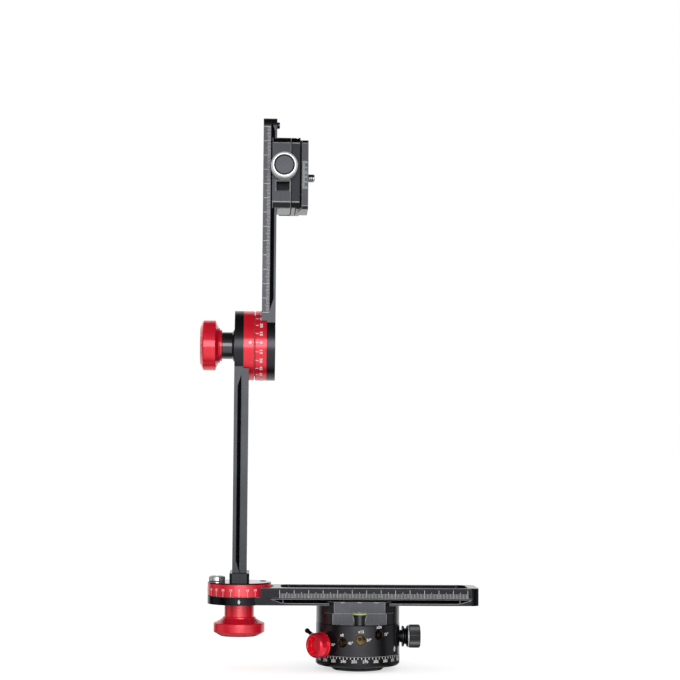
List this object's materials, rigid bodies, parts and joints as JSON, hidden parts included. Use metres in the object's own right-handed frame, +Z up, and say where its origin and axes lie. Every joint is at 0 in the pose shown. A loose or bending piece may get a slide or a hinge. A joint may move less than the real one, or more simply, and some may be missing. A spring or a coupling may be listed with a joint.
{
  "type": "panoramic tripod head",
  "caption": "Panoramic tripod head: indexing rotator, sliding rail, swivelling arm and tilting rail with a camera clamp and quick-release plate.",
  "frame": {"origin": "mouth of the tripod thread, at the centre of the foot's underside", "axes": "+Z up along the pan axis, +X along the lower rail away from the arm, the clamps' front towards -Y"},
  "size_m": [0.1951, 0.0769, 0.3839],
  "materials": {
    "black_anodised": "satin black anodised",
    "black_engraved": "satin black anodised with white filled engraving",
    "red_anodised": "satin red anodised",
    "silver_aluminium": "turned and polished",
    "steel": "machined",
    "black_steel": "black oxide",
    "chrome": "polished",
    "brass": "machined",
    "slip_plastic": "smooth",
    "black_rubber": "knurled",
    "level_fluid": "clear with green fluid"
  },
  "bodies": {
    "base": {"base_foot": "black_anodised", "thread_bush": "steel", "dial_ring": "black_engraved", "detent_ring": "brass", "slip_washers": "slip_plastic", "pan_retainer": "steel", "pan_screw": "steel"},
    "drum": {"drum": "black_engraved", "brake_shoe": "brass", "plunger_bush": "steel", "plunger_spring": "steel", "clamp_body": "black_anodised", "clamp_bolts": "steel", "clamp_level": "level_fluid"},
    "pan_lock": {"pan_lock_screw": "black_steel", "pan_lock_ring": "silver_aluminium", "pan_lock_knob": "black_rubber"},
    "plunger": {"plunger_pin": "steel", "plunger_knob": "red_anodised"},
    "lever": {"plunger_lever": "black_anodised"},
    "clamp_jaw": {"clamp_jaw": "black_anodised"},
    "clamp_knob": {"clamp_screw": "steel", "clamp_knob": "black_anodised"},
    "rail": {"rail": "black_engraved", "swivel_bush": "brass", "swivel_slip_ring": "slip_plastic", "swivel_washer": "silver_aluminium"},
    "swivel_lock": {"swivel_knob": "red_anodised"},
    "arm": {"swivel_dial": "red_anodised", "turntable_plate": "black_anodised", "turntable_screw": "black_steel", "swivel_shaft": "steel", "arm_block": "black_anodised", "arm_bolts": "steel", "lower_arm": "black_anodised", "arm_level_cup": "chrome", "arm_level_vial": "level_fluid", "tilt_index_ring": "red_anodised", "tilt_ring_screws": "black_steel", "tilt_bush": "brass", "tilt_spacer": "black_anodised"},
    "tilt_lock": {"tilt_knob": "red_anodised"},
    "upper_rail": {"upper_rail": "black_engraved", "tilt_dial": "red_anodised", "tilt_dial_screws": "black_steel", "tilt_shaft": "steel", "tilt_slip_ring": "slip_plastic", "stop_screw": "black_steel"},
    "carriage": {"carriage_body": "black_anodised", "camera_clamp_body": "black_anodised", "carriage_bolts": "steel"},
    "carriage_jaw": {"carriage_jaw": "black_anodised"},
    "carriage_knob": {"carriage_screw": "steel", "carriage_knob": "silver_aluminium", "knob_cap": "black_anodised"},
    "camera_jaw": {"camera_jaw": "black_anodised"},
    "camera_knob": {"camera_knob": "black_anodised"},
    "camera_plate": {"camera_plate": "black_engraved"},
    "camera_screw": {"camera_screw": "steel"}
  },
  "joints": [
    {"name": "drum_pan", "type": "hinge", "parent": "base", "child": "drum", "pos_m": [0, 0, 0], "axis": [0, 0, 1], "continuous": true},
    {"name": "plunger_pull", "type": "slide", "parent": "drum", "child": "plunger", "axis": [-0.766, -0.6428, 0], "range_m": [-0.0008, 0.0022]},
    {"name": "lever_turn", "type": "hinge", "parent": "drum", "child": "lever", "pos_m": [-0.02298, -0.01928, 0.0188], "axis": [-0.766, -0.6428, 0], "range_deg": [-60, 0]},
    {"name": "pan_lock_turn", "type": "hinge", "parent": "drum", "child": "pan_lock", "pos_m": [0.036, 0, 0.0228], "axis": [1, 0, 0], "range_deg": [0, 360]},
    {"name": "clamp_jaw_slide", "type": "slide", "parent": "drum", "child": "clamp_jaw", "axis": [0, 1, 0], "range_m": [0, 0.003]},
    {"name": "clamp_knob_turn", "type": "hinge", "parent": "clamp_jaw", "child": "clamp_knob", "pos_m": [0, 0.035, 0.0389], "axis": [0, 1, 0], "range_deg": [0, 1082]},
    {"name": "rail_slide", "type": "slide", "parent": "drum", "child": "rail", "axis": [1, 0, 0], "range_m": [-0.047, 0.024]},
    {"name": "swivel_lock_turn", "type": "hinge", "parent": "rail", "child": "swivel_lock", "pos_m": [-0.0828, 0, 0.03], "axis": [0, 0, 1], "range_deg": [0, 360]},
    {"name": "arm_swivel", "type": "hinge", "parent": "rail", "child": "arm", "pos_m": [-0.0828, 0, 0.05], "axis": [0, 0, 1], "continuous": true},
    {"name": "tilt_lock_turn", "type": "hinge", "parent": "arm", "child": "tilt_lock", "pos_m": [-0.105, 0, 0.2249], "axis": [-1, 0, 0], "range_deg": [0, 360]},
    {"name": "rail_tilt", "type": "hinge", "parent": "arm", "child": "upper_rail", "pos_m": [-0.0738, 0, 0.2249], "axis": [1, 0, 0], "continuous": true},
    {"name": "carriage_slide", "type": "slide", "parent": "upper_rail", "child": "carriage", "axis": [0, 0, 1], "range_m": [-0.06, 0.005]},
    {"name": "carriage_jaw_slide", "type": "slide", "parent": "carriage", "child": "carriage_jaw", "axis": [0, -1, 0], "range_m": [0, 0.003]},
    {"name": "carriage_knob_turn", "type": "hinge", "parent": "carriage_jaw", "child": "carriage_knob", "pos_m": [-0.0546, -0.03, 0.3481], "axis": [0, -1, 0], "range_deg": [0, 1082]},
    {"name": "camera_jaw_slide", "type": "slide", "parent": "carriage", "child": "camera_jaw", "axis": [0, 1, 0], "range_m": [0, 0.003]},
    {"name": "camera_knob_turn", "type": "hinge", "parent": "camera_jaw", "child": "camera_knob", "pos_m": [-0.0536, 0.033, 0.3481], "axis": [0, 1, 0], "range_deg": [0, 1082]},
    {"name": "plate_slide", "type": "slide", "parent": "carriage", "child": "camera_plate", "axis": [0, 0, 1], "range_m": [-0.01, 0.01]},
    {"name": "camera_screw_turn", "type": "hinge", "parent": "camera_plate", "child": "camera_screw", "pos_m": [-0.0376, 0, 0.344], "axis": [1, 0, 0], "continuous": true}
  ],
  "couplings": [
    {"joint": "clamp_knob_turn", "follows": "clamp_jaw_slide", "rad_per_m": 6283.2},
    {"joint": "carriage_knob_turn", "follows": "carriage_jaw_slide", "rad_per_m": 6283.2},
    {"joint": "camera_knob_turn", "follows": "camera_jaw_slide", "rad_per_m": 6283.2}
  ]
}
